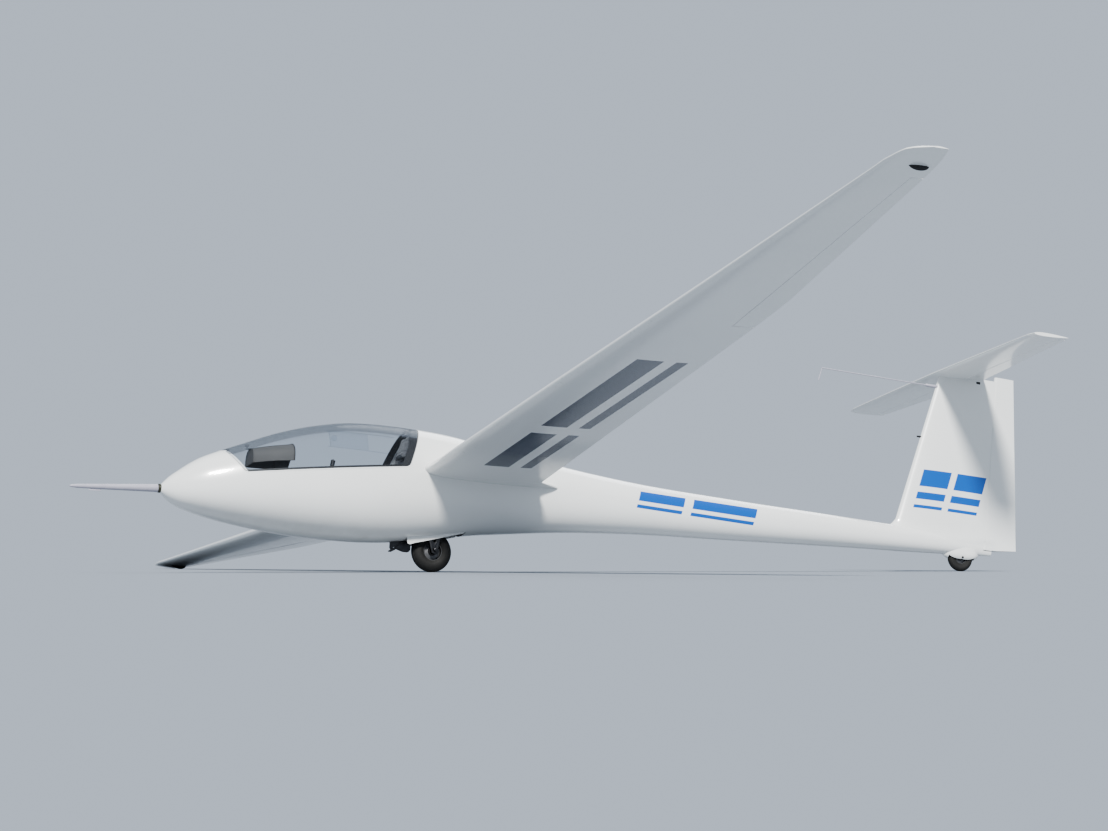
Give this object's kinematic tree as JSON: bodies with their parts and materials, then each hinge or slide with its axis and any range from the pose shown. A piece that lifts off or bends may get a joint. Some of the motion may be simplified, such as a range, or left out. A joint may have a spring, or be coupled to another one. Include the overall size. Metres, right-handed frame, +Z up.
{
  "type": "single-seat T-tail sailplane glider",
  "caption": "White glass-fibre sailplane with a T-tail, long slim wings and a clear canopy, parked on its wheels and one wing tip.",
  "frame": {"origin": "centre of the box round the parked glider, on the floor", "axes": "+X aft along the fuselage, +Y towards the starboard wing tip, +Z up from the floor"},
  "size_m": [7.37, 14.8262, 2.2908],
  "materials": {
    "gelcoat": "glossy white gelcoat over glass fibre",
    "clear_glass": "clear blown acrylic, very slightly blue",
    "black_trim": "matt black",
    "olive_cap": "dark olive rubber",
    "probe_tube": "light grey paint on tube",
    "tyre_rubber": "worn black tyre rubber",
    "cast_alloy": "cast, dull",
    "dark_steel": "dark oiled steel",
    "grey_interior": "grey speckled interior paint",
    "seat_fabric": "dark woven upholstery",
    "blue_paint": "blue enamel"
  },
  "bodies": {
    "airframe": {"fuselage_shell": "gelcoat", "tail_boom": "gelcoat", "fin": "gelcoat", "stabiliser": "gelcoat", "wing_left": "gelcoat", "wing_right": "gelcoat", "tip_skid_left": "black_trim", "tip_skid_right": "black_trim", "nose_ring": "olive_cap", "nose_boom": "probe_tube", "canopy_hinge": "dark_steel", "rear_bulkhead": "grey_interior", "seat_pan": "grey_interior", "seat_cushion": "seat_fabric", "back_cushion": "seat_fabric", "headrest": "grey_interior", "instrument_console": "black_trim", "instrument_panel": "black_trim", "glare_shield": "black_trim", "control_stick": "black_trim", "airbrake_lever": "blue_paint", "rudder_pedals": "cast_alloy", "main_axle": "dark_steel", "gear_leg_left": "dark_steel", "gear_leg_right": "dark_steel", "gear_door_left": "gelcoat", "gear_door_right": "gelcoat", "tow_hook": "dark_steel", "tail_wheel_fairing": "gelcoat", "total_energy_probe": "probe_tube", "fin_pitot": "black_trim"},
    "canopy": {"canopy_glass": "clear_glass", "canopy_frame": "black_trim"},
    "main_wheel": {"main_tyre": "tyre_rubber", "main_wheel_hub": "cast_alloy"},
    "tail_wheel": {"tail_tyre": "tyre_rubber", "tail_wheel_hub": "cast_alloy"},
    "rudder_body": {"rudder": "gelcoat"},
    "elevator_body": {"elevator_left": "gelcoat", "elevator_right": "gelcoat"},
    "aileron_left_body": {"aileron_left": "gelcoat"},
    "aileron_right_body": {"aileron_right": "gelcoat"},
    "airbrake_left_body": {"airbrake_left": "gelcoat"},
    "airbrake_right_body": {"airbrake_right": "gelcoat"}
  },
  "joints": [
    {"name": "canopy_hinge_joint", "type": "hinge", "parent": "airframe", "child": "canopy", "pos_m": [-2.7484, -0.0934, 0.75965], "axis": [0.0178, -0.9883, 0.1513], "range_deg": [0, 45]},
    {"name": "main_wheel_spin", "type": "hinge", "parent": "airframe", "child": "main_wheel", "pos_m": [-1.08377, -0.1574, 0.14569], "axis": [-0.0178, 0.9883, -0.1513], "continuous": true},
    {"name": "tail_wheel_spin", "type": "hinge", "parent": "airframe", "child": "tail_wheel", "pos_m": [3.11658, -0.08883, 0.09896], "axis": [-0.0178, 0.9883, -0.1513], "continuous": true},
    {"name": "rudder_hinge", "type": "hinge", "parent": "airframe", "child": "rudder_body", "pos_m": [3.31494, -0.0774, 0.15024], "axis": [0.1675, 0.1522, 0.9741], "range_deg": [-30, 30]},
    {"name": "elevator_hinge", "type": "hinge", "parent": "airframe", "child": "elevator_body", "pos_m": [3.26198, 0.12249, 1.46211], "axis": [-0.0178, 0.9883, -0.1513], "range_deg": [-25, 25]},
    {"name": "aileron_left_hinge", "type": "hinge", "parent": "airframe", "child": "aileron_left_body", "pos_m": [-0.52275, -4.22386, 1.54021], "axis": [0.0485, 0.973, -0.2256], "range_deg": [-20, 20]},
    {"name": "aileron_right_hinge", "type": "hinge", "parent": "airframe", "child": "aileron_right_body", "pos_m": [-0.67384, 4.15713, 0.25704], "axis": [-0.0839, 0.9936, -0.0755], "range_deg": [-20, 20]},
    {"name": "airbrake_left_slide", "type": "slide", "parent": "airframe", "child": "airbrake_left_body", "axis": [0.114, 0.2209, 0.9686], "range_m": [0, 0.065]},
    {"name": "airbrake_right_slide", "type": "slide", "parent": "airframe", "child": "airbrake_right_body", "axis": [0.1165, 0.083, 0.9897], "range_m": [0, 0.065]}
  ],
  "couplings": [
    {"joint": "aileron_right_hinge", "follows": "aileron_left_hinge", "ratio": -1},
    {"joint": "airbrake_right_slide", "follows": "airbrake_left_slide", "ratio": 1}
  ]
}
